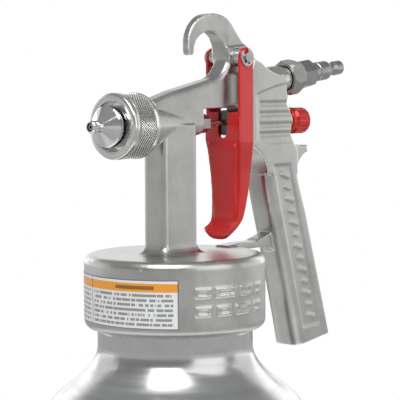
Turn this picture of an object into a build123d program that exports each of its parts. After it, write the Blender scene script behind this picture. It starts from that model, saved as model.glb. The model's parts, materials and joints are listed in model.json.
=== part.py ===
from build123d import *
import os
from math import cos, radians, sin

# Siphon-feed air spray gun on a one-quart aluminium cup.
# Row frame, millimetres: origin at the centre of the cup's flat bottom, +Z up, +X the way it sprays,
# +Y the gun's left side.  Every piece is drawn in the gun frame, whose origin is where the needle's
# axis crosses the cup's axis, and is raised by NEEDLE_Z when it is written.

os.makedirs("parts", exist_ok=True)

# ---------------------------------------------------------------- driving dimensions
NEEDLE_Z = 190.0            # height of the needle's axis over the surface that the cup stands on

# lid, cast in one piece with the gun
LID_R = 46.0
LID_TOP = -65.0
LID_BOTTOM = -102.5
LID_EDGE_R = 4.0            # rounding of the lid's top edge
LID_FOOT_R = 4.5            # rounding of the lid's lower edge
THREAD_R = 41.0             # crest of the cup's neck, plain here, inside the lid
RUNNING = 0.05              # radial clearance of every running fit

# cup
CUP_BOTTOM = -NEEDLE_Z
CUP_R = 67.0
CUP_NECK_R = 39.5
CUP_WALL = 1.5
CUP_LIP_Z = -72.6           # top of the neck, under the gasket
CUP_MOUTH_R = 37.5
GASKET_T = 2.4

# column and barrel
COLUMN_X = (-9.5, 14.8)
COLUMN_HW = 7.9             # half width
BARREL_FRONT = 27.0
BARREL_R_FRONT = 11.5
BARREL_REAR = -10.0
BARREL_R_REAR = 5.6
TAIL_BOSS_R = 6.0
TAIL_BOSS_REAR = -17.0
BRIDGE_HW = 6.0
BRIDGE_UNDER = 7.7          # underside of the bridge over the trigger

# front end
RING_X = (25.8, 43.6)
RING_R = 16.3
RING_MOUTH_R = 12.4
RING_THREAD_R = 14.0
RING_LIP_X = 41.0           # inner face of the ring's front lip
KNURL_X = (28.4, 39.9)
KNURL_DEPTH = 0.35
RING_FLUTES = 72
NOSE_FRONT = 37.0           # front face of the cast nose
CAP_FLANGE_R = 13.6
CAP_HEAD_R = 10.2
CAP_HEAD_X = 47.7           # where the cap's head turns into its cone
TIP_ROOT_X = 52.0
TIP_X = 58.0
TIP_R = 3.1
TIP_BORE_R = 2.1

# trigger and its pivot
PIVOT_X = -42.5
PIVOT_Z = 34.0
SHEET = 1.6
TRIGGER_HW = 12.0
ARM_X = (-47.8, -37.2)
PLATE_X = -36.5
BUSHING_R = 4.7
PIN_R = 2.6

# rear body and handle
BODY_FRONT = -50.0
GRIP_HW = 9.2               # half width of the rear body and of the handle
HANDLE_RAKE = 0.27          # how far the handle leans back for each unit of its length
KNOB_R = 7.2
KNOB_REAR = -102.5

# needle and air valve
NEEDLE_R = 1.6
SLEEVE_R = 5.0
VALVE_CHAMBER_R = 6.6
VALVE_SEAT_X = -60.0

# air inlet: a line that rises towards the back
INLET_TILT = 7.25           # degrees
INLET_X = -80.0             # where the cast boss ends
INLET_Z = 22.14
NIPPLE_R = 6.8
NUT_AF = 17.0
NUT_END = (6.6, 16.3)       # distances behind the cast boss
PLUG_AF = 14.0
PLUG_HEX = (16.6, 29.8)
NOSE_R = 3.95
NOSE_END = 56.65            # length of the inlet fittings behind the cast boss
BOSS_R = 7.9
NUT_TURN = 15.0             # degrees, how the nut's hexagon stands about the inlet's line
PLUG_TURN = 45.0            # and the plug's


COLUMN_MID = (COLUMN_X[0] + COLUMN_X[1]) / 2
CLIP_T = 0.7
CLIP_GRIP_R = 2.1
CLIP_TURN = 200.0           # degrees, where the clip's mouth points
NEEDLE_TAIL = -88.5
SLEEVE_FRONT = PLATE_X - SHEET - 0.3
SLEEVE_REAR = -66.3
COLLAR_FRONT = -67.9
BUSHING_FRONT = -77.0
BUSHING_REAR = -87.2
BUSHING_STEP = -84.2        # behind it the bushing is a thinner collar
TUBE_R = 4.4
TUBE_TOP = LID_TOP - 2.0
SOCKET_END = LID_TOP - 13.0
KNOB_STEM_R = 4.2
KNOB_BORE_R = 3.3
KNOB_BORE_END = -97.5
KNOB_FLUTES = 18
TANG_HW = 5.4
POCKET_DEPTH = 2.5          # cored pockets in the bridge
RELIEF_DEPTH = 0.5          # recess on the rear body's flanks
GROOVE_Z = (9.6, 4.2, -1.7, -6.6)
GROOVE_R = 2.6
GROOVE_DEPTH = 0.7
PANEL_DEPTH = 0.6           # recess on the handle's flanks, and the bars in it
BAR_COUNT = 13
BAR_LENGTH = 7.0
BAR_WIDTH = 1.8
BAR_HEIGHT = 0.4
HANDLE_LEAN = 16.0          # degrees
LABEL_T = 0.15
LABEL_Z = (-97.6, -73.4)
LABEL_ANGLES = (-60.0, 46.0)


# ---------------------------------------------------------------- helpers
def side(points):
    """A closed outline in the X-Z plane from straight runs."""
    return make_face(Plane.XZ * Polyline(*points, close=True))


def slab(face, half_width):
    """Extrude an X-Z face to both sides of Y = 0."""
    return extrude(face, amount=half_width, both=True)


def along_x(r, x0, x1, y=0.0, z=0.0):
    """A rod along X between two stations."""
    low, high = min(x0, x1), max(x0, x1)
    rod = Cylinder(r, high - low, align=(Align.CENTER, Align.CENTER, Align.MIN))
    return Pos(low, y, z) * Rot(0, 90, 0) * rod


def cone_x(x0, r0, x1, r1):
    """A cone along X: radius r0 at x0, r1 at x1, with x0 < x1."""
    cone = Cone(r0, r1, x1 - x0, align=(Align.CENTER, Align.CENTER, Align.MIN))
    return Pos(x0, 0, 0) * Rot(0, 90, 0) * cone


def along_y(r, y0, y1, x, z):
    """A rod along Y between two stations."""
    rod = Cylinder(r, y1 - y0, align=(Align.CENTER, Align.CENTER, Align.MIN))
    return Pos(x, y0, z) * Rot(-90, 0, 0) * rod


def along_z(r, z0, z1, x=0.0, y=0.0):
    """A rod along Z between two heights."""
    return Pos(x, y, z0) * Cylinder(r, z1 - z0, align=(Align.CENTER, Align.CENTER, Align.MIN))


def block(x0, x1, y0, y1, z0, z1):
    """A box between two corners."""
    return Pos(x0, y0, z0) * Box(x1 - x0, y1 - y0, z1 - z0, align=(Align.MIN, Align.MIN, Align.MIN))


def turned_x(points):
    """Revolve an (x, r) outline about the needle's axis."""
    return revolve(make_face(Plane.XZ * Polyline(*points, close=True)), Axis.X)


def hexagon_x(across_flats, x0, x1, turn=0.0):
    """A hexagonal bar along X."""
    flat = RegularPolygon(across_flats / 2, 6, major_radius=False, rotation=turn)
    bar = extrude(flat, amount=x1 - x0)
    return Pos(x0, 0, 0) * Rot(0, 90, 0) * bar


def coil(radius, wire_r, x0, x1, turns):
    """A compression spring along X, with its wire's centre between two stations."""
    pitch = (x1 - x0) / turns
    path = Helix(pitch=pitch, height=x1 - x0, radius=radius)
    section = Plane(origin=path @ 0, z_dir=path % 0) * Circle(wire_r)
    wire = sweep(section, path=path)
    return Pos(x0, 0, 0) * Rot(0, 90, 0) * wire


def on_inlet(shape):
    """Place a shape drawn along -X from the origin on the air inlet's rising line."""
    return Pos(INLET_X, 0, INLET_Z) * Rot(0, INLET_TILT, 0) * shape


# ---------------------------------------------------------------- cup, lid and what joins them
def cup_outline(offset):
    """Outer outline of the cup's wall, moved inwards by offset, from the shoulder down to the floor."""
    neck = (CUP_NECK_R - offset, -104.0)
    shoulder = [
        (CUP_NECK_R - offset, -111.0),
        (44.1 - offset, -122.5),
        (52.0 - offset * 0.6, -130.2 - offset * 0.8),
        (61.0 - offset * 0.6, -137.2 - offset * 0.8),
        (66.0 - offset, -144.5),
        (CUP_R - offset, -154.0),
    ]
    return neck, shoulder


def make_cup():
    """Spun cup: threaded neck, swept shoulder, straight wall and flat floor with a rounded corner."""
    corner = 9.0
    low = CUP_BOTTOM

    def half(offset, top_r, top_z, floor_z):
        neck, shoulder = cup_outline(offset)
        bend = corner - offset
        wall_r = CUP_R - offset
        with BuildLine(Plane.XZ) as line:
            Polyline((0, top_z), (top_r, top_z), (top_r, -102.0 - offset), neck, shoulder[0])
            Spline(*shoulder, tangents=[(0, -1), (0, -1)])
            Line(shoulder[-1], (wall_r, floor_z + bend))
            RadiusArc((wall_r, floor_z + bend), (wall_r - bend, floor_z), bend)
            Line((wall_r - bend, floor_z), (0, floor_z))
            Line((0, floor_z), (0, top_z))
        return revolve(make_face(line.line), Axis.Z)

    outside = half(0.0, THREAD_R, CUP_LIP_Z, low)
    inside = half(CUP_WALL, CUP_MOUTH_R, CUP_LIP_Z + 1.0, low + CUP_WALL)
    return outside - inside


def make_lid_gasket():
    """Flat ring in the lid's roof, on the cup's lip."""
    top = CUP_LIP_Z + GASKET_T
    ring = along_z(THREAD_R - 0.2, CUP_LIP_Z, top)
    return ring - along_z(CUP_MOUTH_R - 1.5, CUP_LIP_Z - 1, top + 1)


def lid_solid():
    """The lid's outer body: a drum with a rounded top edge and a rounded foot."""
    drum = along_z(LID_R, LID_BOTTOM, LID_TOP)
    drum = fillet(drum.edges().filter_by(GeomType.CIRCLE).sort_by(Axis.Z)[-1], LID_EDGE_R)
    return fillet(drum.edges().filter_by(GeomType.CIRCLE).sort_by(Axis.Z)[0], LID_FOOT_R)


def lid_cavity():
    """The lid's bore over the cup's neck, as deep as the gasket, around the pickup tube's socket."""
    bore = along_z(THREAD_R + RUNNING, LID_BOTTOM - 1, CUP_LIP_Z + GASKET_T)
    return bore - along_z(7.0, SOCKET_END, LID_TOP, x=COLUMN_MID)


# ---------------------------------------------------------------- the casting
def column_solid():
    """Upright between lid and barrel, with rounded corners and a flared foot."""
    x0, x1 = COLUMN_X
    post = block(x0, x1, -COLUMN_HW, COLUMN_HW, LID_TOP - 2, 0)
    return fillet(post.edges().filter_by(Axis.Z), 2.6)


def barrel_solid():
    """Tapered barrel on the needle's axis, with the threaded nose in front and a boss behind."""
    cone = cone_x(BARREL_REAR, BARREL_R_REAR, BARREL_FRONT, BARREL_R_FRONT)
    nose = along_x(RING_THREAD_R - RUNNING, BARREL_FRONT - 0.2, NOSE_FRONT)
    boss = along_x(TAIL_BOSS_R, TAIL_BOSS_REAR, 0)
    return cone + nose + boss


def bridge_solid():
    """Web that joins the barrel, the pivot and the rear body over the trigger."""
    with BuildLine(Plane.XZ) as line:
        Polyline((20.0, 0.0), (20.0, 12.2), (2.4, 17.2), (-12.3, 20.3), (-22.0, 22.4))
        ThreePointArc((-22.0, 22.4), (-31.4, 26.6), (-35.8, 33.0))
        Polyline((-35.8, 33.0), (-35.0, 39.0), (-49.3, 40.4), (-57.0, 33.0), (-57.0, BRIDGE_UNDER),
                 (-16.0, BRIDGE_UNDER), (-16.0, 0.0), (20.0, 0.0))
    web = slab(make_face(line.line), BRIDGE_HW)
    top = web.edges().filter_by(lambda e: abs(e.center().Y) > 5 and e.center().Z > 12
                                and -33 < e.center().X < 18)
    return fillet(top.filter_by(lambda e: e.bounding_box().size.X > 2), 3.0)


def hook_solid():
    """Hanging hook: a curl that thins towards its tip."""
    with BuildLine(Plane.XZ) as line:
        ThreePointArc((-13.2, 36.4), (-22.6, 47.0), (-33.6, 40.0))
        Polyline((-33.6, 40.0), (-35.6, 34.0), (-44.0, 30.0), (-53.0, 36.0), (-49.3, 40.4), (-41.0, 49.2))
        Spline((-41.0, 49.2), (-36.0, 53.9), (-27.5, 56.4), (-17.5, 54.2), (-10.6, 47.5), (-8.6, 40.5),
               (-9.2, 36.4))
        RadiusArc((-9.2, 36.4), (-13.2, 36.4), 2.1)
    curl = slab(make_face(line.line), 6.0)
    taper = make_face(Plane.XY * Polyline((-5, -1.9), (-16, -2.5), (-30, -4.3), (-36, -4.9), (-56, -4.9),
                                          (-56, 4.9), (-36, 4.9), (-30, 4.3), (-16, 2.5), (-5, 1.9),
                                          close=True))
    return curl & (Pos(0, 0, 25) * extrude(taper, amount=40))


def rear_body_solid():
    """Block behind the trigger that holds the air valve."""
    with BuildLine(Plane.XZ) as line:
        Polyline((BODY_FRONT, -11.0), (BODY_FRONT, 27.0), (-52.5, 33.0), (-58.0, 31.4))
        Spline((-58.0, 31.4), (-63.0, 28.4), (-69.0, 26.0), (-76.0, 25.2))
        Polyline((-76.0, 25.2), (-79.2, 22.0), (-79.2, 14.6), (-81.3, 13.6))
        Spline((-81.3, 13.6), (-80.2, 11.2), (-80.6, 8.2), (-82.6, 5.6), (-84.4, 0.6), (-83.1, -5.9),
               (-84.8, -10.3), (-88.0, -14.0))
        Polyline((-88.0, -14.0), (-88.0, -28.0), (-62.6, -28.0))
        Spline((-62.6, -28.0), (-61.0, -21.5), (-57.6, -17.0), (-52.6, -13.8), (BODY_FRONT, -11.0))
    core = slab(make_face(line.line), GRIP_HW)
    back = core.edges().filter_by(lambda e: abs(abs(e.center().Y) - GRIP_HW) < 0.1
                                  and e.center().X < -66 and e.bounding_box().size.Z > 20)
    return fillet(back, 1.8)


def side_relief():
    """Grip relief on both flanks of the rear body: a shallow recess with four lengthwise grooves."""
    floor = GRIP_HW - RELIEF_DEPTH
    outline = side([
        (-53.6, 14.8), (-58.2, 16.4), (-68.8, 19.0), (-79.7, 21.1), (-90.0, 22.5), (-90.0, -12.2),
        (-63.0, -12.0), (-58.0, -11.0), (-54.6, -8.6),
    ])
    cuts = []
    for y in (floor, -floor - 5.0):
        cuts.append(Pos(0, y + 5.0, 0) * extrude(outline, amount=5.0))
    for z in GROOVE_Z:
        for hand in (1, -1):
            cuts.append(along_x(GROOVE_R, -92.0, -56.5, y=hand * (floor + GROOVE_R - GROOVE_DEPTH), z=z))
    return cuts


def web_pockets():
    """Cored pockets in both sides of the bridge, between the trigger's pivot and the valve's guide."""
    outline = side([(-32.2, 9.2), (-32.2, 23.2), (-36.5, 26.0), (BODY_FRONT, 26.0), (BODY_FRONT, 9.2)])
    pockets = slab(outline, BRIDGE_HW + 1.0) - slab(outline, BRIDGE_HW - POCKET_DEPTH)
    return pockets


def handle_panel():
    """Shallow panel on both flanks of the handle, with a column of plain raised bars in it."""
    floor = GRIP_HW - PANEL_DEPTH
    top_front, top_back = (-67.4, -23.0), (-81.4, -23.0)
    low_front, low_back = (-92.4, -113.4), (-106.9, -112.6)
    panel = side([top_front, top_back, low_back, low_front])
    cuts = []
    for y in (floor, -floor - 5.0):
        cuts.append(Pos(0, y + 5.0, 0) * extrude(panel, amount=5.0))
    bars = []
    for k in range(BAR_COUNT):
        share = (k + 0.9) / (BAR_COUNT + 0.8)
        x = top_front[0] - 8.4 + (low_front[0] - top_front[0]) * share
        z = top_front[1] + (low_front[1] - top_front[1]) * share
        bar = Box(BAR_LENGTH - 2.0 * (k % 2), 2 * floor + 2 * BAR_HEIGHT, BAR_WIDTH)
        bars.append(Pos(x, 0, z) * Rot(0, -HANDLE_LEAN, 0) * bar)
    return cuts, bars


def inlet_boss_solid():
    """Round boss that the air inlet nipple screws into."""
    boss = along_x(BOSS_R, 0.0, 12.0)
    boss = fillet(boss.edges().filter_by(GeomType.CIRCLE).sort_by(Axis.X)[0], 1.0)
    return on_inlet(fillet(boss.edges().filter_by(GeomType.CIRCLE).sort_by(Axis.X)[-1], 3.0))


def tang_solid():
    """Rear tang over the web of the thumb."""
    with BuildLine(Plane.XZ) as line:
        Polyline((-80.0, -11.0), (-86.0, -12.6), (-94.0, -13.6), (-102.2, -13.2))
        RadiusArc((-102.2, -13.2), (-102.4, -16.8), 1.9)
        Spline((-102.4, -16.8), (-97.3, -18.7), (-93.6, -22.4), (-91.0, -28.6))
        Polyline((-91.0, -28.6), (-80.0, -28.6), (-80.0, -11.0))
    return slab(make_face(line.line), TANG_HW)


def handle_solid():
    """Raked handle with a crowned front, a rounded back and a slanted foot."""
    with BuildLine(Plane.XZ) as line:
        Polyline((-80.0, -20.0), (-62.0, -20.0))
        Spline((-62.0, -20.0), (-64.0, -34.0), (-69.0, -52.6), (-79.7, -91.5), (-87.8, -123.2))
        Polyline((-87.8, -123.2), (-116.6, -118.8), (-97.0, -52.0))
        Spline((-97.0, -52.0), (-92.0, -38.0), (-88.2, -26.0), (-87.0, -20.0))
        Line((-87.0, -20.0), (-80.0, -20.0))
    grip = slab(make_face(line.line), GRIP_HW)

    def long_edges(in_front):
        return grip.edges().filter_by(
            lambda e: abs(abs(e.center().Y) - GRIP_HW) < 0.1 and e.bounding_box().size.Z > 6
            and (e.center().X - HANDLE_RAKE * e.center().Z > -70) == in_front)

    grip = fillet(long_edges(True), 5.5)
    return fillet(long_edges(False), 3.0)


def strut_solid():
    """Thin web from the lid's rear edge to the handle."""
    web = side([(-36.0, -68.2), (-36.0, -64.0), (-47.0, -63.4), (-59.0, -63.5), (-62.0, -62.4),
                (-66.0, -61.4), (-76.0, -58.5), (-76.0, -71.0), (-70.0, -68.0), (-62.0, -67.0),
                (-47.0, -67.2)])
    return slab(web, 4.2)


def casting_bores():
    """Everything drilled, tapped or cored out of the casting."""
    bores = [
        lid_cavity(),
        along_z(3.4, TUBE_TOP - 1, -2, x=COLUMN_MID),                # fluid passage in the column
        along_z(TUBE_R, SOCKET_END - 1, TUBE_TOP, x=COLUMN_MID),     # seat of the pickup tube
        along_x(3.4, -9.0, 30.0),                                    # fluid chamber around the needle
        along_x(5.5 + RUNNING, 24.0, NOSE_FRONT + 1),                # fluid nozzle's thread
        along_x(4.2, TAIL_BOSS_REAR - 1, -8.9),                      # packing nut's thread
        along_x(1.9, -12.0, -8.0),
        along_x(2.0, BODY_FRONT - 8.0, 30.0, z=13.0 - 2.5),          # air passage in the bridge
        along_z(2.0, 4.0, 10.5, x=-56.5),                            # and down to the air valve
        along_y(BUSHING_R, -30, 30, PIVOT_X, PIVOT_Z),               # trigger pivot
        along_x(SLEEVE_R + RUNNING, -61.0, BODY_FRONT + 1),          # guide of the valve sleeve
        along_x(5.9, VALVE_SEAT_X - 0.2, -54.5),                     # air gallery ahead of the seat
        along_x(VALVE_CHAMBER_R, -95.0, VALVE_SEAT_X),               # valve chamber, open at the back
        along_z(2.2, 5.0, 20.0, x=-67.0),                            # air drop from the inlet
        on_inlet(along_x(3.2, -1.0, 14.8)),                          # inlet bore
        on_inlet(along_x(5.2, -1.0, 9.0)),                           # inlet thread
    ]
    return bores


def make_gun_body():
    """The aluminium casting: lid, column, barrel, bridge, hook, rear body, handle and strut."""
    body = lid_solid() + column_solid()
    foot = body.edges().filter_by(lambda e: abs(e.center().Z - LID_TOP) < 0.01
                                  and (Vector(e.center().X, e.center().Y, 0)).length < 25)
    body = fillet(foot, 5.5)
    panel_cuts, panel_bars = handle_panel()
    for piece in (barrel_solid(), bridge_solid(), hook_solid(), rear_body_solid(), inlet_boss_solid(),
                  tang_solid(), handle_solid(), strut_solid()):
        body = body + piece
    body = body - [*panel_cuts, *side_relief(), web_pockets()]
    body = body + panel_bars
    for bore in casting_bores():
        body = body - bore
    return body


# ---------------------------------------------------------------- fluid side
def make_pickup_tube():
    """Straight siphon tube pressed into the lid, cut at an angle just over the cup's floor."""
    low = CUP_BOTTOM + 6.0
    tube = along_z(TUBE_R, low, TUBE_TOP, x=COLUMN_MID) - along_z(3.4, low - 1, LID_TOP, x=COLUMN_MID)
    cut = Pos(COLUMN_MID, 0, low) * Rot(0, 20, 0) * block(-20, 20, -20, 20, -20, 1.5)
    return tube - cut


def make_fluid_nozzle():
    """Nozzle screwed into the cast nose, with a hexagonal flange and a long tip."""
    body = turned_x([
        (26.0, 0), (26.0, 5.5), (NOSE_FRONT, 5.5), (NOSE_FRONT, 8.0), (NOSE_FRONT + 3.0, 8.0),
        (NOSE_FRONT + 4.5, 5.0), (49.0, 2.6), (52.5, 1.5), (TIP_X - 0.5, 1.4), (TIP_X - 0.5, 0),
    ])
    bore = turned_x([(25.0, 0), (25.0, 3.2), (45.0, 2.3), (52.5, 0.9), (TIP_X + 1.0, 0.9), (TIP_X + 1.0, 0)])
    return body - bore


def make_air_cap():
    """Plated cap: a flange held by the ring, a cone and a short round tip over the nozzle."""
    body = turned_x([
        (NOSE_FRONT + 0.6, 0), (NOSE_FRONT + 0.6, CAP_FLANGE_R), (RING_LIP_X - 0.1, CAP_FLANGE_R),
        (RING_LIP_X - 0.1, CAP_HEAD_R + 1.9), (RING_LIP_X - 1.6, CAP_HEAD_R + 1.9),
        (RING_LIP_X - 1.6, CAP_HEAD_R), (CAP_HEAD_X - 0.5, CAP_HEAD_R), (CAP_HEAD_X, CAP_HEAD_R - 0.5),
        (TIP_ROOT_X, TIP_R), (TIP_X - 0.8, TIP_R), (TIP_X, TIP_R - 0.5), (TIP_X, 0),
    ])
    hollow = turned_x([
        (NOSE_FRONT, 0), (NOSE_FRONT, 8.8), (44.5, 8.8), (51.0, TIP_BORE_R + 0.3), (53.0, TIP_BORE_R),
        (TIP_X + 1, TIP_BORE_R), (TIP_X + 1, 0),
    ])
    return body - hollow


def make_air_cap_ring():
    """Knurled ring that clamps the air cap on the nose; its knurl is cut as fine flutes."""
    rear, front = RING_X
    body = turned_x([
        (rear, RING_THREAD_R), (rear, RING_R - 0.5), (rear + 0.6, RING_R), (KNURL_X[1] + 0.2, RING_R),
        (KNURL_X[1] + 0.2, RING_R - KNURL_DEPTH), (KNURL_X[1] + 0.8, RING_R - KNURL_DEPTH),
        (KNURL_X[1] + 0.8, RING_R), (front - 1.0, RING_R), (front, RING_R - 1.0),
        (front, RING_MOUTH_R + 0.3), (front - 0.3, RING_MOUTH_R), (RING_LIP_X, RING_MOUTH_R),
        (RING_LIP_X, RING_THREAD_R),
    ])
    flute = along_x(0.6, *KNURL_X, z=RING_R + 0.6 - KNURL_DEPTH)
    return body - [Rot(k * 360 / RING_FLUTES, 0, 0) * flute for k in range(RING_FLUTES)]


def make_packing_nut():
    """Hexagonal gland nut behind the barrel."""
    head = hexagon_x(8.6, TAIL_BOSS_REAR - 6.0, TAIL_BOSS_REAR)
    stem = along_x(4.2 - RUNNING, TAIL_BOSS_REAR - 0.5, -12.6)
    return head + stem - along_x(NEEDLE_R + RUNNING, -30, 0)


def make_needle_packing():
    """Soft packing ring squeezed around the needle by the gland nut."""
    return along_x(4.1, -12.5, -9.1) - along_x(NEEDLE_R + RUNNING, -20, 0)


def make_needle():
    """Needle from the nozzle's tip through the barrel, trigger and air valve."""
    rod = turned_x([
        (NEEDLE_TAIL, 0), (NEEDLE_TAIL, NEEDLE_R), (38.0, NEEDLE_R), (50.5, 0.6), (TIP_X - 1.2, 0.25),
        (TIP_X - 1.2, 0),
    ])
    return rod


def make_needle_collar():
    """Collar locked on the needle, which the air valve's sleeve picks up after it has opened."""
    front = COLLAR_FRONT
    return along_x(2.9, front - 3.6, front) - along_x(NEEDLE_R, front - 5, front + 1)


# ---------------------------------------------------------------- trigger and pivot
def make_trigger():
    """Pressed sheet trigger: two arms, a slotted plate at the needle and a channel for the fingers."""
    with BuildLine(Plane.XZ) as line:
        Polyline((ARM_X[1], PIVOT_Z), (ARM_X[1], 4.0), (PLATE_X, 2.0), (PLATE_X, -9.0), (-37.7, -15.0))
        Spline((-37.7, -15.0), (-38.9, -32.0), (-38.5, -46.6), (-36.6, -54.2), (-32.4, -58.2))
        RadiusArc((-32.4, -58.2), (-33.6, -60.8), 1.5)
        Spline((-33.6, -60.8), (-38.0, -58.0), (-42.8, -49.2), (-45.6, -38.5), (-47.4, -25.0), (-48.0, -10.0),
               (ARM_X[0], 0.0))
        Line((ARM_X[0], 0.0), (ARM_X[0], PIVOT_Z))
        ThreePointArc((ARM_X[0], PIVOT_Z), (PIVOT_X, PIVOT_Z + 5.3), (ARM_X[1], PIVOT_Z))
    outside = slab(make_face(line.line), 20)

    def front_shape(inset):
        hw = TRIGGER_HW - inset
        right = [(-hw, 60), (-hw, -10), (inset - 10.6, -24), (inset - 9.3, -52), (inset - 8.6, -70)]
        outline = right + [(-y, z) for y, z in reversed(right)]
        face = make_face(Plane.YZ * Polyline(*outline, close=True))
        return Pos(-70, 0, 0) * extrude(face, amount=60)

    with BuildLine(Plane.XZ) as line:
        Polyline((-90, 70), (-30, 70), (-30, 5.6), (PLATE_X - SHEET, 5.6), (PLATE_X - SHEET, -9.3),
                 (-37.7 - SHEET, -15.3))
        Spline((-37.7 - SHEET, -15.3), (-38.9 - SHEET, -32.0), (-38.5 - SHEET, -47.0), (-37.4 - SHEET, -55.0),
               (-35.2, -58.6), (-34.2, -63.6))
        Polyline((-34.2, -63.6), (-90, -63.6), (-90, 70))
    hollow = slab(make_face(line.line), 30) & front_shape(SHEET)
    shell = (outside & front_shape(0)) - hollow
    slot = along_x(3.2, -50, -30, z=-4.6) + block(-50, -30, -3.2, 3.2, -4.6, 10)
    pivot = along_y(PIN_R + RUNNING, -30, 30, PIVOT_X, PIVOT_Z)
    return shell - slot - pivot


def make_pivot_bushing():
    """Bright bushing through the casting, on which the trigger's arms swing."""
    half = TRIGGER_HW - SHEET - 0.15
    tube = along_y(BUSHING_R, -half, half, PIVOT_X, PIVOT_Z)
    return tube - along_y(PIN_R, -30, 30, PIVOT_X, PIVOT_Z)


def make_trigger_pin():
    """Pivot pin with a head on the right and a groove for its clip on the left."""
    head = along_y(4.3, -TRIGGER_HW - 1.7, -TRIGGER_HW - 0.1, PIVOT_X, PIVOT_Z)
    shank = along_y(PIN_R, -TRIGGER_HW - 0.2, TRIGGER_HW + 1.9, PIVOT_X, PIVOT_Z)
    groove_y = (TRIGGER_HW + 0.1, TRIGGER_HW + 0.1 + CLIP_T)
    groove = along_y(6, *groove_y, PIVOT_X, PIVOT_Z) - along_y(CLIP_GRIP_R, 0, 30, PIVOT_X, PIVOT_Z)
    return head + shank - groove


def make_pin_clip():
    """E-shaped retaining clip in the pin's groove."""
    y0 = TRIGGER_HW + 0.1
    disc = along_y(4.7, y0, y0 + CLIP_T, PIVOT_X, PIVOT_Z)
    disc = disc - along_y(CLIP_GRIP_R, y0 - 1, y0 + 2, PIVOT_X, PIVOT_Z)
    mouth = Pos(PIVOT_X, y0 - 1, PIVOT_Z) * Rot(0, CLIP_TURN, 0) * block(-1.7, 1.7, 0, 3, -6, 0)
    lobes = [
        Pos(PIVOT_X, 0, PIVOT_Z) * Rot(0, CLIP_TURN + angle, 0) * along_y(0.9, y0 - 1, y0 + 2, 0, 2.8)
        for angle in (0, 55, -55)
    ]
    return disc - mouth - lobes


# ---------------------------------------------------------------- air valve
def make_air_valve_sleeve():
    """Hollow plunger around the needle that the trigger pushes to open the air."""
    body = turned_x([
        (SLEEVE_FRONT, NEEDLE_R + 0.15), (SLEEVE_FRONT, 6.6), (SLEEVE_FRONT - 2.4, 6.6),
        (SLEEVE_FRONT - 2.4, SLEEVE_R), (VALVE_SEAT_X - 2.8, SLEEVE_R), (VALVE_SEAT_X - 2.8, 4.2),
        (SLEEVE_REAR, 4.2), (SLEEVE_REAR, NEEDLE_R + 0.15),
    ])
    return body


def make_air_valve_seat():
    """Brass ring pressed against the shoulder of the valve chamber."""
    ring = along_x(VALVE_CHAMBER_R, VALVE_SEAT_X - 2.6, VALVE_SEAT_X)
    return ring - along_x(SLEEVE_R + 0.4, VALVE_SEAT_X - 4, VALVE_SEAT_X + 1)


def make_air_valve_seal():
    """Plastic washer on the sleeve's shoulder that closes against the seat."""
    ring = along_x(6.1, VALVE_SEAT_X - 4.8, VALVE_SEAT_X - 2.8)
    return ring - along_x(4.2, VALVE_SEAT_X - 6, VALVE_SEAT_X)


def make_air_valve_spring():
    """Spring that closes the air valve."""
    return coil(5.3, 0.5, BUSHING_FRONT + 0.7, VALVE_SEAT_X - 5.4, 5)


def make_control_bushing():
    """Brass bushing screwed into the rear body, with the fluid knob's thread inside."""
    plug = along_x(VALVE_CHAMBER_R, BUSHING_STEP, BUSHING_FRONT)
    collar = along_x(VALVE_CHAMBER_R - 0.4, BUSHING_REAR, BUSHING_STEP)
    return plug + collar - along_x(KNOB_STEM_R + RUNNING, -95, -60)


def make_needle_spring():
    """Long spring that closes the needle."""
    return coil(2.65, 0.4, KNOB_BORE_END + 1.9, COLLAR_FRONT - 4.3, 12)


def make_spring_seat():
    """Cup washer between the needle spring and the end of the knob's bore; it slides but doesn't turn."""
    disc = along_x(3.2, KNOB_BORE_END, KNOB_BORE_END + 1.2)
    return disc - along_x(NEEDLE_R + 0.2, KNOB_BORE_END - 1, KNOB_BORE_END + 2)


def make_fluid_knob():
    """Fluid control knob with a scalloped head, a groove, a smooth flange and a threaded stem."""
    body = turned_x([
        (KNOB_REAR, 0), (KNOB_REAR, 5.9), (KNOB_REAR + 1.3, KNOB_R), (-92.4, KNOB_R), (-91.6, 6.4),
        (-91.0, 5.7), (-90.2, 5.7), (-89.9, 6.9), (-88.2, 6.9), (-87.8, 6.4), (-87.6, KNOB_STEM_R),
        (-79.5, KNOB_STEM_R), (-79.0, 3.7), (-79.0, 0),
    ])
    flute = along_x(0.8, KNOB_REAR - 1, -92.6, z=KNOB_R + 0.35)
    body = body - [Rot(k * 360 / KNOB_FLUTES, 0, 0) * flute for k in range(KNOB_FLUTES)]
    return body - along_x(KNOB_BORE_R, KNOB_BORE_END, -70)


# ---------------------------------------------------------------- air inlet
def make_inlet_nipple():
    """Machined male nipple between the cast boss and the swivel nut."""
    shank = along_x(5.2, -1.0, 8.5)
    shoulder = along_x(NIPPLE_R, -8.4, -0.1)
    thread = along_x(5.0, -NUT_END[1] + 1.4, -8.0)
    return on_inlet(shank + shoulder + thread - along_x(2.6, -30, 20))


def make_swivel_nut():
    """Hexagonal swivel nut with chamfered ends and a round recess around the nipple."""
    front, rear = -NUT_END[0], -NUT_END[1]
    body = hexagon_x(NUT_AF, rear, front, turn=NUT_TURN)
    front_cone = cone_x(rear - 10.0, 20.0, front, 8.6)
    rear_cone = Pos(rear, 0, 0) * Rot(0, 180, 0) * cone_x(-20.0, 22.0, 0.0, 8.8)
    bore = along_x(NIPPLE_R + 0.5, -8.6, 0) + along_x(5.0 + RUNNING, rear + 1.35, -8.0)
    tail = along_x(4.6 + RUNNING, rear - 2.0, rear + 1.4)
    return on_inlet((body & front_cone & rear_cone) - bore - tail)


def make_inlet_seal():
    """Fibre washer between the nipple's end and the plug."""
    return on_inlet(along_x(4.5, -NUT_END[1] + 0.9, -NUT_END[1] + 1.4) - along_x(2.6, -30, 0))


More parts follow.
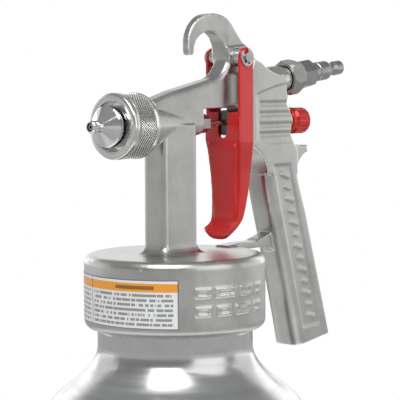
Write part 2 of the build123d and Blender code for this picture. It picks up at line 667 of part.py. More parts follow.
def make_inlet_plug():
    """Quick-connect plug: shank in the swivel nut, hexagon, neck, groove and rounded nose."""
    front, rear = -PLUG_HEX[0], -PLUG_HEX[1]
    shank = along_x(4.6, front - 0.2, -NUT_END[1] + 0.9)
    hexagon = hexagon_x(PLUG_AF, rear, front, turn=PLUG_TURN) & cone_x(rear - 10.0, 22.0, front, 7.4)
    hexagon = hexagon & (Pos(rear, 0, 0) * Rot(0, 180, 0) * cone_x(-20.0, 22.0, 0.0, 5.9))
    with BuildLine(Plane.XZ) as line:
        Polyline((-24.0, 0), (-24.0, 4.9), (-34.4, 4.9), (-34.8, 5.3), (-42.6, 5.3), (-44.6, 4.3),
                 (-46.2, 3.4))
        ThreePointArc((-46.2, 3.4), (-47.7, 3.0), (-49.2, 3.3))
        Polyline((-49.2, 3.3), (-50.6, NOSE_R), (-NOSE_END + 1.2, NOSE_R))
        ThreePointArc((-NOSE_END + 1.2, NOSE_R), (-NOSE_END + 0.3, 3.6), (-NOSE_END, 2.9))
        Polyline((-NOSE_END, 2.9), (-NOSE_END, 0), (-24.0, 0))
    tail = revolve(make_face(line.line), Axis.X)
    return on_inlet(shank + hexagon + tail - along_x(2.1, -70, 0))


def make_lid_label():
    """Thin generic label wrapped around the front of the lid, left of the spray direction."""
    band = along_z(LID_R + LABEL_T, LABEL_Z[0], LABEL_Z[1]) - along_z(LID_R, -200, 0)
    low, high = LABEL_ANGLES
    fan = [(0, 0)] + [(80 * cos(radians(a)), 80 * sin(radians(a)))
                      for a in (low, low + (high - low) / 3, high - (high - low) / 3, high)]
    wedge = extrude(make_face(Polyline(*fan, close=True)), amount=-150)
    return band & wedge


PIECES = {
    "cup": make_cup,
    "lid_gasket": make_lid_gasket,
    "gun_body": make_gun_body,
    "lid_label": make_lid_label,
    "pickup_tube": make_pickup_tube,
    "fluid_nozzle": make_fluid_nozzle,
    "air_cap": make_air_cap,
    "air_cap_ring": make_air_cap_ring,
    "packing_nut": make_packing_nut,
    "needle_packing": make_needle_packing,
    "needle": make_needle,
    "needle_collar": make_needle_collar,
    "trigger": make_trigger,
    "pivot_bushing": make_pivot_bushing,
    "trigger_pin": make_trigger_pin,
    "pin_clip": make_pin_clip,
    "air_valve_sleeve": make_air_valve_sleeve,
    "air_valve_seat": make_air_valve_seat,
    "air_valve_seal": make_air_valve_seal,
    "air_valve_spring": make_air_valve_spring,
    "control_bushing": make_control_bushing,
    "needle_spring": make_needle_spring,
    "spring_seat": make_spring_seat,
    "fluid_knob": make_fluid_knob,
    "inlet_nipple": make_inlet_nipple,
    "swivel_nut": make_swivel_nut,
    "inlet_seal": make_inlet_seal,
    "inlet_plug": make_inlet_plug,
}

for name, make in PIECES.items():
    export_step(Pos(0, 0, NEEDLE_Z) * make(), f"parts/{name}.step")
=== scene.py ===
"""Looks of the siphon-feed spray gun: meshes, materials, light and camera on the CAD frame."""

import json
import math

import bmesh
import bpy
import numpy as np
from mathutils import Matrix, Vector


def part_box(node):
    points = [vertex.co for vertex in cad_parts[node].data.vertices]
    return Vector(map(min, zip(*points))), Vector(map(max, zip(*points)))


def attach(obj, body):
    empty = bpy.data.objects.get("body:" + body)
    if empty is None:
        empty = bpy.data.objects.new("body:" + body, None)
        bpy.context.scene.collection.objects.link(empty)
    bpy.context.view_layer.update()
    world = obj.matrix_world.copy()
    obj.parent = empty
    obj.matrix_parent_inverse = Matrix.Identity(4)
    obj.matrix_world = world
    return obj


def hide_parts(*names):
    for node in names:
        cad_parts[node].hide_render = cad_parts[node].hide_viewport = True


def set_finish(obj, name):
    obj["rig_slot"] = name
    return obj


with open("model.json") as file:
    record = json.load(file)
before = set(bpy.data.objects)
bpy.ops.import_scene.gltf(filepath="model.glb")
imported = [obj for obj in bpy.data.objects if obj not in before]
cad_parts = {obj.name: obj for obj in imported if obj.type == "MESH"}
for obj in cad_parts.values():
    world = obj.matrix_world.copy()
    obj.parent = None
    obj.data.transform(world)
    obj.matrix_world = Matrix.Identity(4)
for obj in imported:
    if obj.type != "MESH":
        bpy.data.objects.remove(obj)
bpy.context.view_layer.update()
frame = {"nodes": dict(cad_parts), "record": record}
NODES = frame["nodes"]

MM = 0.001


def middle(node):
    """Centre of a CAD node's box."""
    low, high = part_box(node)
    return (low + high) / 2


AXIS_Z = middle("air_cap").z            # height of the needle's axis
LABEL_Z = (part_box("lid_label")[0].z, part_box("lid_label")[1].z)
LID_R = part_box("gun_body")[1].x         # the lid's wall is the casting's foremost face

# The air cap ring's diamond knurl: diamonds round and along, corners for each diamond, depth in
# millimetres, and its two ends along the needle's axis.
KNURL_AROUND = 84
KNURL_ROWS = 9
KNURL_STEPS = 8
KNURL_DEPTH = 0.50
KNURL_X = (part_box("air_cap_ring")[0].x + 0.0028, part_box("air_cap_ring")[1].x - 0.0039)

# Skins: voxel sizes in metres and how often each skin is relaxed.
CASTING_VOXEL, CASTING_RELAX = 0.00050, 4
TRIGGER_VOXEL, TRIGGER_RELAX = 0.00030, 12
MOST_TRIANGLES = 190_000
WELD_DISTANCE = 2e-6

# Raised bars on the lid's wall: rows of heights in metres with spans in degrees.
BAR_ROWS = (
    ((0.1075, 0.1120), ((56, 66), (69, 84), (88, 99), (102, 109))),
    ((0.0985, 0.1030), ((56, 66), (70, 80), (84, 97), (100, 109))),
)
BAR_SINK, BAR_RISE, POST_RISE = 0.001, 0.0006, 0.0005
POST_DEGREES = 2.2
BAR_STEP_DEGREES = 1.5


# ---------------------------------------------------------------- meshes
def new_object(name, mesh):
    piece = bpy.data.objects.new(name, mesh)
    bpy.context.scene.collection.objects.link(piece)
    return piece


def take_modifiers(piece):
    """Replace the piece's mesh by the result of its modifiers."""
    bpy.context.view_layer.update()
    finished = piece.evaluated_get(bpy.context.evaluated_depsgraph_get())
    result = bpy.data.meshes.new_from_object(finished)
    piece.modifiers.clear()
    piece.data = result


def crisp(piece, degrees=32.0):
    """Smooth shading that stays sharp over edges steeper than an angle."""
    piece.data.polygons.foreach_set("use_smooth", [True] * len(piece.data.polygons))
    piece.data.set_sharp_from_angle(angle=math.radians(degrees))
    return piece


def softened(name, node, voxel, relax, extras=()):
    """A cast or formed copy of a CAD node: one skin with rounded edges, and extra solids melted
    in."""
    shape = bmesh.new()
    shape.from_mesh(NODES[node].data)
    bmesh.ops.remove_doubles(shape, verts=shape.verts, dist=WELD_DISTANCE)
    for extra in extras:
        shape.from_mesh(extra)
    mesh = bpy.data.meshes.new(name)
    shape.to_mesh(mesh)
    shape.free()
    piece = new_object(name, mesh)
    skin = piece.modifiers.new("skin", "REMESH")
    skin.mode = "VOXEL"
    skin.voxel_size = voxel * 1.0
    skin.adaptivity = 0.0
    relaxed = piece.modifiers.new("relaxed", "SMOOTH")
    relaxed.factor = 0.5
    relaxed.iterations = relax
    take_modifiers(piece)
    count = sum(len(p.vertices) - 2 for p in piece.data.polygons)
    if count > MOST_TRIANGLES:
        thin = piece.modifiers.new("thin", "DECIMATE")
        thin.ratio = MOST_TRIANGLES / count
        take_modifiers(piece)
    piece.data.materials.clear()
    return crisp(piece, 50.0)


def lathe(name, profile, steps, relief):
    """Turn a closed outline of (x, radius) points in millimetres about the needle's axis.
    relief(x, radius, turns) gives the radius at each turn."""
    angles = np.arange(steps) / steps * 2 * math.pi
    points = []
    for x, radius in profile:
        radii = relief(x, radius, angles)
        sides, ups = radii * np.cos(angles), radii * np.sin(angles)
        points.append(np.stack([np.full(steps, x), sides, ups], 1))
    co = np.concatenate(points) * MM + np.array([0, 0, AXIS_Z])
    rows = len(profile)
    i, j = np.meshgrid(np.arange(rows), np.arange(steps), indexing="ij")
    a = i * steps + j
    b = i * steps + (j + 1) % steps
    c = ((i + 1) % rows) * steps + (j + 1) % steps
    d = ((i + 1) % rows) * steps + j
    faces = np.stack([a, b, c, d], -1).reshape(-1, 4)
    mesh = bpy.data.meshes.new(name)
    mesh.from_pydata(co.tolist(), [], faces.tolist())
    mesh.update()
    shape = bmesh.new()
    shape.from_mesh(mesh)
    bmesh.ops.recalc_face_normals(shape, faces=shape.faces)
    shape.to_mesh(mesh)
    shape.free()
    return new_object(name, mesh)


def on_lid(angle, z, out):
    """A point on the lid's wall, at an angle in degrees, a height, and a distance out of it."""
    turn = math.radians(angle)
    return Vector(((LID_R + out) * math.cos(turn), (LID_R + out) * math.sin(turn), z))


def wall_bar(angles, heights, sink, rise):
    """A closed bar that follows the lid's wall."""
    shape = bmesh.new()
    steps = max(2, int((angles[1] - angles[0]) / BAR_STEP_DEGREES))
    loops = []
    for k in range(steps + 1):
        angle = angles[0] + (angles[1] - angles[0]) * k / steps
        corners = [(heights[0], -sink), (heights[1], -sink), (heights[1], rise), (heights[0], rise)]
        loops.append([shape.verts.new(on_lid(angle, z, out)) for z, out in corners])
    for first, second in zip(loops, loops[1:]):
        for k in range(4):
            shape.faces.new((first[k], first[(k + 1) % 4], second[(k + 1) % 4], second[k]))
    shape.faces.new(loops[0])
    shape.faces.new(loops[-1][::-1])
    bmesh.ops.recalc_face_normals(shape, faces=shape.faces)
    mesh = bpy.data.meshes.new("bar")
    shape.to_mesh(mesh)
    shape.free()
    return mesh


def relief_bars():
    """Two rows of plain raised boxes on the lid's left side, cast with it. Each is two bars and two
    posts."""
    bars = []
    for heights, spans in BAR_ROWS:
        low, high = heights
        third = (high - low) / 3
        for start, end in spans:
            bars.append(wall_bar((start, end), (low, low + third * 0.75), BAR_SINK, BAR_RISE))
            bars.append(wall_bar((start, end), (high - third * 0.75, high), BAR_SINK, BAR_RISE))
            bars.append(wall_bar((start, start + POST_DEGREES), heights, BAR_SINK, POST_RISE))
            bars.append(wall_bar((end - POST_DEGREES, end), heights, BAR_SINK, POST_RISE))
    return bars


def make_casting():
    """The casting, with rounded edges and the raised bars."""
    casting = softened("cast_body", "gun_body", CASTING_VOXEL, CASTING_RELAX, relief_bars())
    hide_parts("gun_body")
    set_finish(casting, "cast_aluminium")
    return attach(casting, "gun")


def smooth_step(value, start, end):
    """0 before the start, 1 past the end, and a soft rise between."""
    t = np.clip((value - start) / (end - start), 0, 1)
    return t * t * (3 - 2 * t)


def press_finger_panel(mesh):
    """Press the finger panel forward of the plate above it, leaving a rim along both arms, and lift
    the foot's two corners. All measures are in millimetres, and heights count from the needle's
    axis."""
    forward, lift = 1.9, 4.5
    rearmost = -42.0
    co = np.empty(len(mesh.vertices) * 3)
    mesh.vertices.foreach_get("co", co)
    co = co.reshape(-1, 3)
    x, y, z = co[:, 0] / MM, np.abs(co[:, 1]) / MM, (co[:, 2] - AXIS_Z) / MM
    half_width = np.interp(z, (-52.0, -24.0, -10.0), (9.3, 10.6, 12.0))
    across = 1 - smooth_step(y, half_width - 2.6, half_width - 1.5)
    along = smooth_step(-z, 9.6, 12.6) * (1 - smooth_step(-z, 34.0, 54.0))
    in_sheet = x > rearmost
    co[:, 0] += forward * MM * across * along * in_sheet
    co[:, 2] += lift * MM * smooth_step(-z, 48.0, 61.0) * np.clip(y / half_width, 0, 1) ** 3
    mesh.vertices.foreach_set("co", co.ravel())
    mesh.update()


def make_trigger():
    """The trigger, with rounded edges and its pressed panel."""
    trigger = softened("pressed_trigger", "trigger", TRIGGER_VOXEL, TRIGGER_RELAX)
    press_finger_panel(trigger.data)
    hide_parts("trigger")
    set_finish(trigger, "red_paint")
    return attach(trigger, "trigger")


def make_ring():
    """The air cap ring with its diamond knurl. All measures are in millimetres."""
    low, high = (v.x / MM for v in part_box("air_cap_ring"))
    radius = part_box("air_cap_ring")[1].y / MM
    knurl = tuple(x / MM for x in KNURL_X)
    pitch = (knurl[1] - knurl[0]) / KNURL_ROWS
    run_out = 0.4

    def relief(x, r, turns):
        """Cut the diamonds' grooves, which run out at both ends of the knurl."""
        if not (knurl[0] - 1e-6 < x < knurl[1] + 1e-6 and r > radius - 0.01):
            return np.full(len(turns), float(r))
        fade = min(1.0, (x - knurl[0]) / run_out, (knurl[1] - x) / run_out)
        u = turns / (2 * math.pi) * KNURL_AROUND
        ridges = []
        for sign in (1, -1):
            t = (u + sign * (x - knurl[0]) / pitch) % 1.0
            ridges.append(1 - np.abs(2 * t - 1))
        height = np.minimum(1.0, 1.25 * np.minimum(*ridges))
        return r - KNURL_DEPTH * max(fade, 0.0) * (1 - height)

    # Each pair is a step along from an edge and a step in from the ring's radius.
    rear_edge = (
        (0, 2.3), (0, 0.9), (0.15, 0.45), (0.5, 0.12), (1.0, 0), (2.0, 0), (2.3, 0.25), (2.7, 0.3),
    )
    groove = ((0.15, 0.45), (0.6, 0.45), (0.8, 0.1), (1.1, 0))
    front_edge = (
        (1.2, 0), (0.75, 0.1), (0.35, 0.35), (0.1, 0.75), (0, 1.2), (0, 2.0), (0.25, 2.15),
        (0.25, 2.6), (0, 2.75), (0, 3.5), (0.1, 3.75), (0.35, 3.9), (2.6, 3.9), (2.6, 2.3),
    )
    outline = [(low + along, radius - inward) for along, inward in rear_edge]
    outline += [(x, radius) for x in np.linspace(knurl[0], knurl[1], KNURL_ROWS * KNURL_STEPS + 1)]
    outline += [(knurl[1] + along, radius - inward) for along, inward in groove]
    outline += [(high - back, radius - inward) for back, inward in front_edge]
    ring = crisp(lathe("knurled_ring", outline, KNURL_AROUND * KNURL_STEPS, relief), 40.0)
    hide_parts("air_cap_ring")
    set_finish(ring, "ring_nickel")
    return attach(ring, "cap_ring")


# ---------------------------------------------------------------- materials
class Nodes:
    """Short names for building one material's node tree."""

    def __init__(self, name):
        self.material = bpy.data.materials.new(name)
        self.material.use_nodes = True
        self.tree = self.material.node_tree
        self.shader = self.tree.nodes["Principled BSDF"]
        self.place = self.add("ShaderNodeTexCoord").outputs["Object"]

    def add(self, kind, **settings):
        node = self.tree.nodes.new(kind)
        for key, value in settings.items():
            setattr(node, key, value)
        return node

    def link(self, output, node_input):
        self.tree.links.new(output, node_input)

    def feed(self, node_input, value):
        if isinstance(value, bpy.types.NodeSocket):
            self.link(value, node_input)
        else:
            node_input.default_value = value

    def stretched(self, scale):
        """The place, scaled by a factor for each axis."""
        node = self.add("ShaderNodeMapping")
        node.inputs["Scale"].default_value = scale
        self.link(self.place, node.inputs["Vector"])
        return node.outputs["Vector"]

    def noise(self, scale, detail=3.0, rough=0.5, place=None):
        node = self.add("ShaderNodeTexNoise")
        node.inputs["Scale"].default_value = scale
        node.inputs["Detail"].default_value = detail
        node.inputs["Roughness"].default_value = rough
        self.link(place or self.place, node.inputs["Vector"])
        return node.outputs["Fac"]

    def math(self, operation, *values, clamp=False):
        node = self.add("ShaderNodeMath", operation=operation, use_clamp=clamp)
        for k, value in enumerate(values):
            self.feed(node.inputs[k], value)
        return node.outputs[0]

    def spread(self, value, low, high, start=0.3, end=0.7):
        """Map a value from start...end to low...high."""
        node = self.add("ShaderNodeMapRange")
        self.feed(node.inputs["Value"], value)
        node.inputs["From Min"].default_value = start
        node.inputs["From Max"].default_value = end
        node.inputs["To Min"].default_value = low
        node.inputs["To Max"].default_value = high
        return node.outputs["Result"]

    def within(self, value, start, end):
        """1 between the start and the end, and 0 elsewhere."""
        above = self.math("GREATER_THAN", value, start)
        return self.math("MULTIPLY", above, self.math("LESS_THAN", value, end))

    def mix(self, share, first, second):
        node = self.add("ShaderNodeMix", data_type="RGBA")
        self.feed(node.inputs["Factor"], share)
        self.feed(node.inputs[6], first)
        self.feed(node.inputs[7], second)
        return node.outputs[2]

    def bump(self, height, strength, distance):
        node = self.add("ShaderNodeBump")
        node.inputs["Strength"].default_value = strength
        node.inputs["Distance"].default_value = distance
        self.link(height, node.inputs["Height"])
        self.link(node.outputs["Normal"], self.shader.inputs["Normal"])


def rgb(r, g, b):
    return (r, g, b, 1.0)


def grey(shade):
    return rgb(shade, shade, shade)


def knurled_nickel():
    """Bright nickel with painted shade in the knurl's grooves: a near-black colour there, and a duller
    gloss.
    """
    n = Nodes("ring_nickel")
    n.shader.inputs["Metallic"].default_value = 1.0
    axes = n.add("ShaderNodeSeparateXYZ")
    n.link(n.place, axes.inputs[0])
    x, y, z = axes.outputs
    angle = n.math("ARCTAN2", n.math("SUBTRACT", z, AXIS_Z), y)
    turn = n.math("MULTIPLY", angle, KNURL_AROUND / (2 * math.pi))
    rows_per_metre = KNURL_ROWS / (KNURL_X[1] - KNURL_X[0])
    along = n.math("MULTIPLY", n.math("SUBTRACT", x, KNURL_X[0]), rows_per_metre)
    ridges = []
    for way in ("ADD", "SUBTRACT"):
        part = n.math("FRACT", n.math("ADD", n.math(way, turn, along), 100.0))
        off_ridge = n.math("ABSOLUTE", n.math("MULTIPLY_ADD", part, 2.0, -1.0))
        ridges.append(n.math("SUBTRACT", 1.0, off_ridge))
    # The mask is 1 on the crests and outside the knurl, and 0 in the grooves, where the painted shade
    # goes.
    crest = n.spread(n.math("MINIMUM", *ridges), 0.0, 1.0, 0.10, 0.55)
    outside = n.math("SUBTRACT", 1.0, n.within(x, *KNURL_X))
    unshaded = n.math("MAXIMUM", crest, outside)
    # groove is painted shade, a near-black colour for the knurl's grooves; crown is the nickel's own
    # colour.
    groove, crown = rgb(0.05, 0.05, 0.047), rgb(0.74, 0.74, 0.72)
    n.link(n.mix(unshaded, groove, crown), n.shader.inputs["Base Color"])
    fine = n.noise(1200.0)
    gloss = n.spread(fine, 0.14, 0.24)
    duller = n.math("MULTIPLY", n.math("SUBTRACT", 1.0, unshaded), 0.3)
    n.link(n.math("ADD", gloss, duller), n.shader.inputs["Roughness"])
    n.bump(fine, 0.05, 0.00005)
    return n.material


def metal(name, dark, light, rough, scale=120.0, grain=900.0, grain_strength=0.15, stretch=None,
          spread=0.05):
    """Metal with a mottled tint, an uneven gloss and a fine grain, which may be drawn out along an
    axis."""
    n = Nodes(name)
    n.shader.inputs["Metallic"].default_value = 1.0
    mottle = n.noise(scale, 4.0, 0.6)
    n.link(n.mix(n.spread(mottle, 0.0, 1.0), dark, light), n.shader.inputs["Base Color"])
    place = n.stretched(stretch) if stretch else n.place
    fine = n.noise(grain, 3.0, 0.6, place)
    n.link(n.spread(fine, rough - spread, rough + spread), n.shader.inputs["Roughness"])
    n.bump(fine, grain_strength, 0.00006)
    return n.material


def cast_aluminium():
    """Tumbled die casting: cloudy tint, soft gloss, tiny pits and brighter rubbed edges."""
    n = Nodes("cast_aluminium")
    n.shader.inputs["Metallic"].default_value = 1.0
    cloud = n.noise(60.0, 5.0, 0.65)
    pits = n.noise(1500.0, 3.0, 0.7)
    edge = n.add("ShaderNodeNewGeometry").outputs["Pointiness"]
    rubbed = n.spread(edge, 0.0, 1.0, 0.505, 0.56)
    tint = n.mix(n.spread(cloud, 0.0, 1.0), rgb(0.47, 0.475, 0.455), rgb(0.60, 0.605, 0.585))
    n.link(n.mix(rubbed, tint, rgb(0.80, 0.80, 0.78)), n.shader.inputs["Base Color"])
    matte = n.spread(cloud, 0.27, 0.37)
    glossier = n.math("MULTIPLY", rubbed, 0.12)
    n.link(n.math("SUBTRACT", matte, glossier), n.shader.inputs["Roughness"])
    n.bump(n.math("ADD", pits, n.math("MULTIPLY", cloud, 1.5)), 0.22, 0.00008)
    return n.material


def spun_aluminium():
    """Spun sheet: faint rings round the cup's axis and a cloudy tint."""
    n = Nodes("spun_aluminium")
    n.shader.inputs["Metallic"].default_value = 1.0
    n.shader.inputs["Anisotropic"].default_value = 0.5
    rings = n.noise(400.0, 4.0, 0.6, n.stretched((0.02, 0.02, 1.0)))
    cloud = n.noise(40.0, 4.0, 0.6)
    n.link(n.mix(n.spread(cloud, 0.0, 1.0), rgb(0.55, 0.556, 0.548), rgb(0.64, 0.646, 0.638)),
           n.shader.inputs["Base Color"])
    n.link(n.spread(rings, 0.17, 0.27), n.shader.inputs["Roughness"])
    n.bump(rings, 0.10, 0.00008)
    return n.material


def gloss_red(name, body, rough, flake=0.0):
    """Red finish with a slightly wavy gloss."""
    n = Nodes(name)
    wave = n.noise(220.0, 2.0, 0.5)
    dust = n.noise(1400.0, 2.0, 0.6)
    deep = rgb(*(c * 0.82 for c in body[:3]))
    n.link(n.mix(n.spread(n.noise(45.0), 0.0, 1.0), deep, body), n.shader.inputs["Base Color"])
    n.link(n.spread(dust, rough - 0.02, rough + 0.03), n.shader.inputs["Roughness"])
    n.shader.inputs["Metallic"].default_value = flake
    n.shader.inputs["Coat Weight"].default_value = 0.35
    n.shader.inputs["Coat Roughness"].default_value = 0.06
    n.bump(wave, 0.03, 0.00010)
    return n.material


def plain(name, dark, light, rough, scale=300.0):
    """Rubber, fibre or plastic with a cloudy tint and a fine bump."""
    n = Nodes(name)
    cloud = n.noise(scale, 4.0, 0.6)
    n.link(n.mix(n.spread(cloud, 0.0, 1.0), dark, light), n.shader.inputs["Base Color"])
    n.link(n.spread(cloud, rough - 0.06, rough + 0.06), n.shader.inputs["Roughness"])
    n.bump(cloud, 0.2, 0.00005)
    return n.material


def label_film():
    """A generic printed label: an orange band, a border and rows of plain dark bars in two columns."""
    n = Nodes("label_film")
    axes = n.add("ShaderNodeSeparateXYZ")
    n.link(n.place, axes.inputs[0])
    x, y, z = axes.outputs
    angle = n.math("MULTIPLY", n.math("ARCTAN2", y, x), 180 / math.pi)
    low, high = LABEL_Z

    def either(first, second):
        return n.math("MAXIMUM", first, second)

    band_low, band_high = high - 0.0060, high - 0.0018
    divider, ends = -18.0, (-59.2, 45.2)
    band = n.within(z, band_low, band_high)
    words = n.add("ShaderNodeCombineXYZ")
    line_pitch, line_height = 0.00235, 0.56
    line = n.math("DIVIDE", n.math("SUBTRACT", z, low + 0.0018), line_pitch)
    n.link(n.math("MULTIPLY", n.math("FLOOR", line), 7.31), words.inputs[1])
    n.link(n.math("MULTIPLY", angle, 0.55), words.inputs[0])
    letters = n.add("ShaderNodeTexNoise")
    letters.inputs["Scale"].default_value = 1.0
    letters.inputs["Detail"].default_value = 1.0
    n.link(words.outputs[0], letters.inputs["Vector"])
    in_line = n.math("LESS_THAN", n.math("FRACT", line), line_height)
    inked = n.math("GREATER_THAN", letters.outputs["Fac"], 0.43)
    left_column = n.within(angle, ends[0] + 1.5, divider - 2.5)
    column = either(left_column, n.within(angle, divider + 2.0, ends[1] - 2.5))
    rows = n.within(z, low + 0.0018, band_low - 0.0009)
    text = n.math("MULTIPLY", n.math("MULTIPLY", in_line, inked), n.math("MULTIPLY", column, rows))
    title_rows = n.within(z, band_low + 0.0012, band_high - 0.0012)
    title = n.math("MULTIPLY", title_rows, n.within(angle, 5.0, 31.0))
    inside = n.math("MULTIPLY", n.within(angle, *ends), n.within(z, low + 0.0006, high - 0.0006))
    frame_line = n.math("SUBTRACT", 1.0, inside)
    frame_line = either(frame_line, n.within(angle, divider - 0.35, divider + 0.35))
    paper = n.mix(band, rgb(0.83, 0.84, 0.84), rgb(0.88, 0.36, 0.04))
    paper = n.mix(n.math("MULTIPLY", text, 0.72), paper, grey(0.10))
    paper = n.mix(n.math("MULTIPLY", title, 0.75), paper, rgb(0.12, 0.05, 0.02))
    n.link(n.mix(n.math("MULTIPLY", frame_line, 0.8), paper, rgb(0.07, 0.07, 0.08)),
           n.shader.inputs["Base Color"])
    n.link(n.spread(n.noise(500.0), 0.30, 0.42), n.shader.inputs["Roughness"])
    return n.material


def make_materials():
    steel = dict(scale=200.0, grain=1200.0)
    turned = dict(scale=150.0, grain=700.0, stretch=(8.0, 0.3, 0.3))
    return {
        "cast_aluminium": cast_aluminium(),
        "spun_aluminium": spun_aluminium(),
        "label": label_film(),
        "gasket": plain("gasket", rgb(0.02, 0.02, 0.018), rgb(0.04, 0.038, 0.035), 0.7),
        "packing": plain("packing", rgb(0.72, 0.72, 0.68), rgb(0.82, 0.82, 0.78), 0.45),
        "tube_aluminium": metal("tube_aluminium", grey(0.56), grey(0.66), 0.34,
                                stretch=(1.0, 1.0, 0.05)),
        "nozzle_steel": metal(
            "nozzle_steel", rgb(0.50, 0.49, 0.47), rgb(0.62, 0.61, 0.59), 0.24, **turned),
        "plated_chrome": metal("plated_chrome", grey(0.74), grey(0.82), 0.09,
                               grain=500.0, grain_strength=0.03, spread=0.03),
        "ring_nickel": knurled_nickel(),
        "fitting_steel": metal(
            "fitting_steel", rgb(0.36, 0.36, 0.355), rgb(0.46, 0.46, 0.45), 0.31, **steel),
        "needle_steel": metal(
            "needle_steel", rgb(0.55, 0.54, 0.52), rgb(0.66, 0.65, 0.63), 0.18, **turned),
        "bushing_steel": metal(
            "bushing_steel", rgb(0.66, 0.66, 0.65), rgb(0.78, 0.78, 0.77), 0.22, **turned),
        "pin_steel": metal("pin_steel", grey(0.40), grey(0.52), 0.32, **steel),
        "clip_steel": metal("clip_steel", grey(0.48), grey(0.60), 0.28, **steel),
        "dark_steel": metal(
            "dark_steel", rgb(0.10, 0.095, 0.09), rgb(0.16, 0.155, 0.15), 0.34, **steel),
        "brass": metal(
            "brass", rgb(0.62, 0.44, 0.18), rgb(0.74, 0.55, 0.25), 0.28, **turned),
        "spring_steel": metal("spring_steel", grey(0.42), grey(0.54), 0.28, **steel),
        "red_paint": gloss_red("red_paint", rgb(0.66, 0.008, 0.009), 0.22),
        "red_anodised": gloss_red("red_anodised", rgb(0.66, 0.020, 0.014), 0.22, 0.45),
    }


def dress(materials, pieces):
    """Give every CAD node and every new piece the material of its slot."""
    for entry in frame["record"]["subparts"]:
        node = NODES[entry["node"]]
        node.data.materials.clear()
        node.data.materials.append(materials[entry["material_slot"]])
    for piece in pieces:
        piece.data.materials.clear()
        piece.data.materials.append(materials[piece["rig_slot"]])


# ---------------------------------------------------------------- camera, floor and light
AZIMUTH = math.radians(132.693)
ELEVATION = math.radians(4.234)
ROLL = math.radians(-0.337)
TO_CAMERA = Vector((
    math.sin(AZIMUTH) * math.cos(ELEVATION),
    -math.cos(AZIMUTH) * math.cos(ELEVATION),
    math.sin(ELEVATION),
))
RIGHT = Vector((math.cos(AZIMUTH), math.sin(AZIMUTH), 0.0))
LENS, SENSOR = 142.04, 36.0
FLOOR_DROP, FLOOR_FADE = 0.0003, (0.14, 0.24)
LIGHT_DISTANCE = 1.3
LIGHT_AIM = Vector((0, 0, 0.14))
# name, azimuth from the camera, elevation, width and height in degrees, radiance
SOFT_BOXES = (
    ("key", -13, 54, 36, 44, 3.8),
    ("right", 52, 24, 52, 50, 1.05),
    ("far_left", -125, 12, 60, 36, 0.60),
    ("far_right", 125, 12, 60, 36, 0.60),
    ("behind", 180, 12, 80, 36, 0.9),
)


def make_camera():
    """The photograph's camera, which was fitted to the circles of the lid, the ring and the cup."""
    distance, aside, below_axis = 0.7992, 0.013048, 0.038295
    up = TO_CAMERA.cross(RIGHT)
    right = RIGHT * math.cos(ROLL) + up * math.sin(ROLL)
    up = up * math.cos(ROLL) - RIGHT * math.sin(ROLL)
    place = RIGHT * aside + Vector((0, 0, AXIS_Z - below_axis)) + TO_CAMERA * distance
    data = bpy.data.cameras.new("camera")
    data.sensor_width = SENSOR
    data.lens = LENS
    data.clip_start, data.clip_end = 0.05, 50.0
    camera = bpy.data.objects.new("camera", data)
    camera.matrix_world = Matrix((
        (right.x, up.x, TO_CAMERA.x, place.x),
        (right.y, up.y, TO_CAMERA.y, place.y),
        (right.z, up.z, TO_CAMERA.z, place.z),
        (0, 0, 0, 1),
    ))
    bpy.context.scene.collection.objects.link(camera)
    bpy.context.scene.camera = camera


def make_floor():
    """A pale round floor under the object that fades away into the white room."""
    shape = bmesh.new()
    bmesh.ops.create_circle(shape, cap_ends=True, radius=0.5, segments=96)
    mesh = bpy.data.meshes.new("floor")
    shape.to_mesh(mesh)
    shape.free()
    floor = new_object("floor", mesh)
    floor.location.z = -FLOOR_DROP
    n = Nodes("pale_floor")
    n.shader.inputs["Base Color"].default_value = grey(0.86)
    n.shader.inputs["Roughness"].default_value = 0.7
    n.shader.inputs["Emission Color"].default_value = grey(1)
    n.shader.inputs["Emission Strength"].default_value = 0.3
    reach = n.add("ShaderNodeVectorMath", operation="LENGTH")
    n.link(n.place, reach.inputs[0])
    n.link(n.spread(reach.outputs["Value"], 1.0, 0.0, *FLOOR_FADE), n.shader.inputs["Alpha"])
    floor.data.materials.append(n.material)


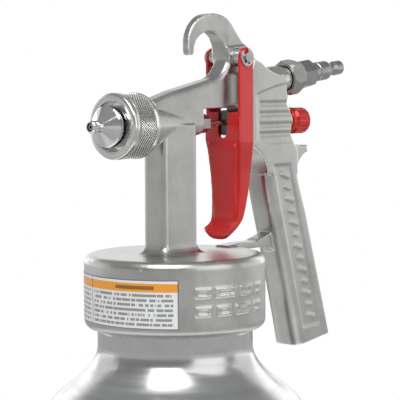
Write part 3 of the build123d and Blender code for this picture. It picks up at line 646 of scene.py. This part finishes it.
def soft_box(name, azimuth, elevation, width, height, radiance):
    """A soft box that looks at the gun's middle. Its azimuth counts from the camera, positive to
    the picture's right. Its width and height are angles in degrees."""
    turn, rise = math.radians(azimuth), math.radians(elevation)
    level = Vector((TO_CAMERA.x, TO_CAMERA.y, 0)).normalized()
    flat = level * math.cos(turn) + RIGHT * math.sin(turn)
    towards = flat * math.cos(rise) + Vector((0, 0, math.sin(rise)))
    data = bpy.data.lights.new(name, "AREA")
    data.shape = "RECTANGLE"
    data.size = 2 * LIGHT_DISTANCE * math.tan(math.radians(width / 2))
    data.size_y = 2 * LIGHT_DISTANCE * math.tan(math.radians(height / 2))
    data.energy = radiance * math.pi * data.size * data.size_y
    lamp = bpy.data.objects.new(name, data)
    lamp.location = LIGHT_AIM + towards * LIGHT_DISTANCE
    lamp.rotation_euler = towards.to_track_quat("Z", "Y").to_euler()
    lamp.visible_camera = False
    bpy.context.scene.collection.objects.link(lamp)


def make_world():
    """A grey room for reflections and plain white for whatever the camera sees past the object."""
    world = bpy.data.worlds.new("studio")
    bpy.context.scene.world = world
    world.use_nodes = True
    tree = world.node_tree
    tree.nodes.clear()
    out = tree.nodes.new("ShaderNodeOutputWorld")
    room = tree.nodes.new("ShaderNodeBackground")
    white = tree.nodes.new("ShaderNodeBackground")
    choose = tree.nodes.new("ShaderNodeMixShader")
    path = tree.nodes.new("ShaderNodeLightPath")
    place = tree.nodes.new("ShaderNodeTexCoord")
    axes = tree.nodes.new("ShaderNodeSeparateXYZ")
    height = tree.nodes.new("ShaderNodeMapRange")
    ramp = tree.nodes.new("ShaderNodeValToRGB")
    height.inputs["From Min"].default_value = -1.0
    stops = ramp.color_ramp.elements
    stops[0].position, stops[0].color = 0.0, grey(0.40)
    stops[1].position, stops[1].color = 1.0, rgb(0.36, 0.365, 0.37)
    # from below the horizon, which is at 0.5, to above it
    for spot, shade in ((0.40, 0.50), (0.49, 0.62), (0.55, 0.32), (0.70, 0.26)):
        stop = stops.new(spot)
        stop.color = grey(shade)
    white.inputs["Color"].default_value = grey(1)
    tree.links.new(place.outputs["Generated"], axes.inputs[0])
    tree.links.new(axes.outputs[2], height.inputs["Value"])
    tree.links.new(height.outputs[0], ramp.inputs[0])
    tree.links.new(ramp.outputs[0], room.inputs["Color"])
    tree.links.new(path.outputs["Is Camera Ray"], choose.inputs[0])
    tree.links.new(room.outputs[0], choose.inputs[1])
    tree.links.new(white.outputs[0], choose.inputs[2])
    tree.links.new(choose.outputs[0], out.inputs[0])


def make_light():
    for box in SOFT_BOXES:
        soft_box(*box)
    make_world()
    bpy.context.scene.view_settings.view_transform = "Standard"


# ---------------------------------------------------------------- the scene
make_camera()
make_floor()
make_light()
new_pieces = [make_casting(), make_trigger(), make_ring()]
dress(make_materials(), new_pieces)
